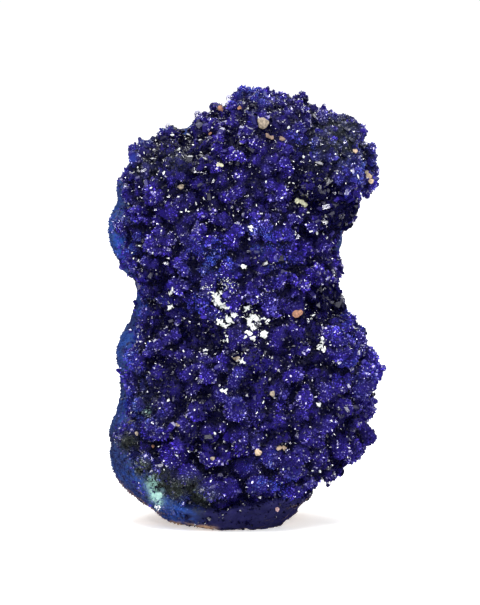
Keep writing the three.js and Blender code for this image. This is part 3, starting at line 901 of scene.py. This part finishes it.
def grain_material(name, colour):
    """Dull, speckled clay."""
    material, tree, shader = new_material(f"clay_{name}", IOR=1.5)
    dark = tuple(CLAY_DARK_SHARE * c for c in colour)
    speckled = mixed(tree, blotch(tree, 0.35, 0.35, 0.65, 4.0), dark, colour)
    tree.links.new(speckled, shader.inputs["Base Color"])
    tree.links.new(between(tree, blotch(tree, 0.2, 0.3, 0.7), 0.0, 1.0, 0.6, 0.9), shader.inputs["Roughness"])
    return material


def stone(radius, squash, roughness, random, subdivisions):
    """Points and faces of one small stone with an uneven outline. A flat one lies across its Z axis."""
    work = bmesh.new()
    bmesh.ops.create_icosphere(work, subdivisions=subdivisions, radius=radius)
    points = np.array([v.co for v in work.verts])
    faces = [tuple(v.index for v in f.verts) for f in work.faces]
    work.free()
    points *= 1 + roughness * (random.random((len(points), 1)) - 0.5)
    around = np.arctan2(points[:, 1], points[:, 0])
    for lobes, depth in STONE_LOBES:
        points[:, :2] *= 1 + depth * np.cos(lobes * around + random.uniform(0, 2 * math.pi))[:, None]
    return points * (1, random.uniform(*STONE_NARROW), squash), faces


def on_surface(points, place, normal, random):
    """Turns points from the Z axis to a surface's normal and moves them there."""
    turn = normal.to_track_quat("Z", "Y").to_matrix()
    spin = random.uniform(0, 2 * math.pi)
    across, along = math.cos(spin), math.sin(spin)
    around = np.array([[across, -along, 0], [along, across, 0], [0, 0, 1]])
    return points @ around.T @ np.array(turn).T + np.array(place)


def one_piece(name, parts, material):
    """Joins lists of points and faces into one object."""
    points, faces = [], []
    for part_points, part_faces in parts:
        start = len(points)
        points += [tuple(p) for p in part_points]
        faces += [tuple(start + i for i in face) for face in part_faces]
    piece = built(name, points, faces)
    piece.data.materials.append(material)
    piece.data.shade_flat()
    return piece


# %% Set the grains
GRAIN_FLATNESS = 0.3
GRAIN_ROUGHNESS = 0.12
GRAIN_LIFT = 0.45

random = np.random.default_rng(5)
grains = []
for colour_name, colour in GRAIN_COLOURS.items():
    parts = []
    for across, up, radius, kind in GRAIN_PLACES:
        hit = seen_at(crust_surface, across, up) or seen_at(rind_surface, across, up)
        if kind != colour_name or hit is None:
            continue
        points, faces = stone(radius * MM, GRAIN_FLATNESS, GRAIN_ROUGHNESS, random, subdivisions=3)
        towards = (hit[1] - LOOK).normalized()
        parts.append((on_surface(points, hit[0] + towards * GRAIN_LIFT * MM, towards, random), faces))
    grains.append(one_piece(f"grains_{colour_name}", parts, grain_material(colour_name, colour)))
    print(grains[-1].name, len(parts), "grains")

# %% Where the white chips are
CHIP_PATCHES = [
    # across, up, reach, how many
    (-4.5, 37.9, 0.8, 26), (-3.9, 37.1, 0.8, 26), (-2.9, 36.3, 0.4, 8), (-2.5, 34.2, 0.7, 24),
    (-1.7, 35.1, 0.4, 8), (-3.0, 32.9, 0.35, 7), (-4.2, 33.8, 0.5, 7), (0.4, 35.9, 0.4, 6),
    (1.3, 34.6, 0.5, 12), (2.1, 34.3, 0.6, 16), (3.1, 34.0, 0.5, 12), (3.8, 33.8, 0.3, 6),
    (1.1, 33.6, 0.5, 11), (1.3, 32.8, 0.35, 6), (3.3, 31.7, 0.6, 16), (0.8, 31.7, 0.4, 6),
    (1.3, 30.9, 0.3, 4), (12.9, 37, 0.4, 6), (12.9, 29.4, 0.6, 13), (13.1, 30.4, 0.35, 6),
    (-2.8, 30.8, 0.3, 4), (-6.4, 28.5, 0.45, 8), (-0.4, 27, 0.4, 7), (0, 42.7, 0.3, 4),
    (11.5, 34.5, 0.4, 4), (-3.2, 22.2, 0.4, 6), (1.3, 49.3, 0.4, 5), (-12.2, 36, 0.4, 6),
    (-12.2, 38.5, 0.5, 6), (12.3, 20.1, 0.3, 4),
]
DUST_PATCHES = [
    (-2.7, 39.9, 1.6, 60), (-6.5, 39.2, 1.2, 24), (-3.4, 36, 1.8, 30), (0.8, 35.6, 1.6, 30),
    (2, 32.4, 1.6, 24), (12.9, 30.4, 1.2, 14), (-12.2, 37.4, 1.2, 14), (11.6, 34.6, 1, 10),
    (-1, 28, 1.4, 14),
]
# Painted glints: single white splinters where light flashes on azurite faces.
BRIGHT_GLINTS = [
    # across, up
    (-11.9, 64.7), (-10.9, 62.2), (-9.2, 64.5), (-13.7, 61.4), (-15.4, 55.7), (-9.6, 52.1), (-17.3, 46.2),
    (-15, 45.2), (13.3, 57.5), (13.5, 56.8), (15.5, 54.9), (18.7, 54.1), (9.8, 60.9), (7.3, 65.7),
    (8.7, 65.1), (-5.1, 62.1), (0.8, 59.3), (-12.6, 20.6), (12.6, 9), (-4.9, 15.2), (-3.1, 12.2),
    (-11.2, 11.7), (11, 48.8), (12, 48.4), (13.1, 48.1), (13.6, 47.6), (-13.2, 58.3), (-6.5, 54.1),
    (18.7, 57.7), (10.5, 51.6),
]
# More painted glints, smaller.
SMALL_GLINTS = [
    (-8.7, 63.7), (-16.6, 61.7), (-17.3, 62.8), (-13.7, 57.5), (-16.4, 57.1), (-15, 57), (-18.1, 55.7),
    (-12.5, 55.3), (-10.9, 54.2), (-19.2, 53.4), (-9.2, 51.8), (-10.4, 51.8), (-19.8, 51.1),
    (-13.7, 48.6), (-15.5, 47.6), (-18.3, 44.2), (-17.5, 43.9), (-18.6, 45.1), (-18, 42.9), (-12.7, 59.3),
    (-17.6, 59.4), (16.8, 56.6), (19.2, 54.9), (17.6, 58.5), (18.7, 59.3), (15.3, 58.1), (13.4, 51.4),
    (16.9, 53.3), (18.1, 65.2), (14.9, 61.3), (-9.5, 21.3), (3, 20.5), (14.3, 17.2), (17, 14.4),
    (17.1, 11.3), (11.3, 9), (6.6, 9.3), (6.3, 7.1), (2.5, 8.7), (3.5, 14.9), (2.6, 17.6), (2, 18.7),
    (1.8, 16), (-1.8, 13.2), (0.4, 12.2), (-1, 11.6), (-8, 12.5), (-13.3, 9.2), (-9.5, 17.9),
    (-8.6, 16.5), (-8.2, 19.1), (8.5, 13.7), (6.8, 13.6), (-15.2, 20), (-13.9, 19.4), (-5.6, 7.2),
    (9, 5.4), (-1.7, 61.4), (-5.1, 54.2), (-1.9, 51.1), (2.6, 51.4), (-0.3, 50.4), (-0.5, 48.4), (9, 51),
    (5.5, 50.2), (2.1, 52.8), (6.2, 54.2), (7.3, 56.6), (8.1, 56.6), (3.7, 56.6), (-5.9, 63.6),
    (-2.4, 60), (-6.3, 58.4), (-7.1, 61.7),
]
print(len(CHIP_PATCHES) + len(DUST_PATCHES), "patches,", len(BRIGHT_GLINTS) + len(SMALL_GLINTS), "splinters")

# %% Set the white chips
CHIP_SIZES = (0.2, 0.5)
BRIGHT_SIZES = (0.28, 0.36)
SMALL_SIZES = (0.17, 0.23)
DUST_SIZES = (0.06, 0.13)
CHIP_FLATNESS = 0.5
CHIP_ROUGHNESS = 0.8
CHIP_NARROW = (0.35, 0.75)
CHIP_LIFT = 0.3
CHIP_LOOK = 0.8
CHIP_SPREAD = 0.5
CHIP_WHITE = (0.85, 0.86, 0.84)
CHIP_GREY = (0.50, 0.54, 0.53)

# One white material for the mineral and for the painted glints.
chip_material, tree, shader = new_material("white_mineral_and_glints", IOR=1.5)
chip_colour = mixed(tree, blotch(tree, 0.4, 0.35, 0.6), CHIP_GREY, CHIP_WHITE)
tree.links.new(chip_colour, shader.inputs["Base Color"])
tree.links.new(between(tree, blotch(tree, 0.3, 0.3, 0.7), 0.0, 1.0, 0.3, 0.6), shader.inputs["Roughness"])

parts = []


def chip(across, up, sizes):
    """A white splinter on the crust, or nothing where the view misses the crust."""
    hit = seen_at(crust_surface, across, up)
    if hit is None:
        return
    points, faces = stone(random.uniform(*sizes) * MM, CHIP_FLATNESS, CHIP_ROUGHNESS, random, subdivisions=1)
    points[:, 1] *= random.uniform(*CHIP_NARROW)
    towards = (hit[1] - LOOK * CHIP_LOOK).normalized()
    parts.append((on_surface(points, hit[0] + towards * CHIP_LIFT * MM, towards, random), faces))


for patches, sizes in ((CHIP_PATCHES, CHIP_SIZES), (DUST_PATCHES, DUST_SIZES)):
    for across, up, reach, count in patches:
        for _ in range(count):
            step = random.normal(0, CHIP_SPREAD, 2) * reach
            chip(across + step[0], up + step[1], sizes)
# The painted glints, one splinter each.
for places, sizes in ((BRIGHT_GLINTS, BRIGHT_SIZES), (SMALL_GLINTS, SMALL_SIZES)):
    for across, up in places:
        chip(across, up, sizes)
chips = one_piece("white_chips", parts, chip_material)
print(len(parts), "chips")

# %% [markdown]
# ## The pieces on the stone
#
# Every piece rides on the stone's one body. The bed stands for the crust's solid, and the rind's skin for
# the rind's, so those imported solids are hidden.

# %% Ride and replace
for piece in (crust, rind, *crystals, *grains, chips):
    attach(piece, "root")
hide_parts("crystal_crust")
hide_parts("rind")
print(3 + len(crystals) + len(grains), "pieces ride on the stone")

# %% [markdown]
# ## Floor, light and camera
#
# The picture is a catalogue shot on pure white. A wide white floor runs out to a white world, and the
# lights are bright enough to lose the line between them. The lamps share the work. Big soft ones bring
# out the colour. Small bright ones make the glitter: a facet flashes white when it faces one of them, and
# few facets do at a time.

# %% Floor and world
WHITE = (1, 1, 1, 1)
FLOOR_RADIUS = 1.5
FLOOR_GLOW = 0.44
WORLD_DARK, WORLD_LIT = 0.02, 0.9

floor_mesh = bpy.data.meshes.new("floor")
work = bmesh.new()
bmesh.ops.create_circle(work, cap_ends=True, segments=64, radius=FLOOR_RADIUS)
work.to_mesh(floor_mesh)
work.free()
floor = shown("floor", floor_mesh)
floor_material, tree, shader = new_material("white_floor", Roughness=0.6, Specular_IOR_Level=0.2)
shader.inputs["Emission Color"].default_value = WHITE
shader.inputs["Emission Strength"].default_value = FLOOR_GLOW
floor_colour = mixed(tree, blotch(tree, 40, 0.3, 0.7), (0.90, 0.90, 0.90), (0.93, 0.93, 0.93))
tree.links.new(floor_colour, shader.inputs["Base Color"])
floor_mesh.materials.append(floor_material)
floor.visible_glossy = False

world = bpy.data.worlds.new("studio")
bpy.context.scene.world = world
world.use_nodes = True
tree = world.node_tree
seen = tree.nodes["Background"]
seen.inputs["Color"].default_value = WHITE
seen.inputs["Strength"].default_value = 1.0
upward = parted(tree, coordinate(tree, "Generated"))["Z"]
glow = between(tree, upward, 0.35, 0.75, WORLD_DARK, WORLD_LIT)
lit = add(tree, "ShaderNodeBackground", {"Color": WHITE, "Strength": glow})
ray = add(tree, "ShaderNodeLightPath").outputs
both = add(tree, "ShaderNodeMixShader", {0: ray["Is Camera Ray"], 1: lit.outputs[0], 2: seen.outputs[0]})
tree.links.new(both.outputs[0], tree.nodes["World Output"].inputs["Surface"])
print("a white floor under a white world")

# %% Lights
AIM = Vector((0, 0, 0.036))
SOFT_LAMPS = [
    # place, size, watts
    ((-0.06, -0.34, 0.50), 0.25, 1.3),
    ((-0.42, -0.22, 0.16), 0.25, 0.25),
    ((0.40, -0.24, 0.14), 0.25, 0.35),
    ((0.02, 0.25, 0.50), 0.30, 1.5),
]
SPARK_LAMPS = [
    # place, size, watts
    ((-0.30, -0.34, 0.44), 0.060, 0.55),
    ((0.30, -0.40, 0.34), 0.070, 0.60),
    ((0.02, -0.55, 0.26), 0.055, 0.40),
    ((-0.18, -0.20, 0.55), 0.065, 0.60),
    ((0.20, -0.55, 0.06), 0.050, 0.30),
    ((-0.45, -0.36, 0.12), 0.050, 0.35),
    ((0.10, -0.30, 0.60), 0.065, 0.60),
    ((0.50, -0.25, 0.20), 0.065, 0.45),
]


def lamp_at(name, place, side, watts):
    """Adds a square lamp that faces the stone."""
    lamp = bpy.data.lights.new(name, "AREA")
    lamp.size = side
    lamp.energy = watts
    lamp_object = shown(name, lamp)
    lamp_object.location = place
    lamp_object.rotation_euler = (Vector(place) - AIM).to_track_quat("Z", "Y").to_euler()


for kind, lamps in (("soft", SOFT_LAMPS), ("spark", SPARK_LAMPS)):
    for number, lamp in enumerate(lamps, start=1):
        lamp_at(f"{kind}_lamp_{number}", *lamp)
print(len(SOFT_LAMPS), "soft lamps and", len(SPARK_LAMPS), "small bright ones")

# %% Camera
PIXEL = 0.1685 * MM
PICTURE_HEIGHT = 605
PICTURE_MIDDLE = (-0.7, 36.87)
DISTANCE = 0.9

camera = bpy.data.cameras.new("camera")
camera.sensor_width = 36
camera.lens = camera.sensor_width * DISTANCE / (PICTURE_HEIGHT * PIXEL)
camera.clip_start, camera.clip_end = 0.01, 10
camera_object = shown("camera", camera)
centre = RIGHT * PICTURE_MIDDLE[0] * MM + UP * PICTURE_MIDDLE[1] * MM
camera_object.location = centre - LOOK * DISTANCE
camera_object.rotation_euler = (-LOOK).to_track_quat("Z", "Y").to_euler()
bpy.context.scene.camera = camera_object
bpy.context.scene.view_settings.view_transform = "Standard"
print("lens", round(camera.lens), "mm")
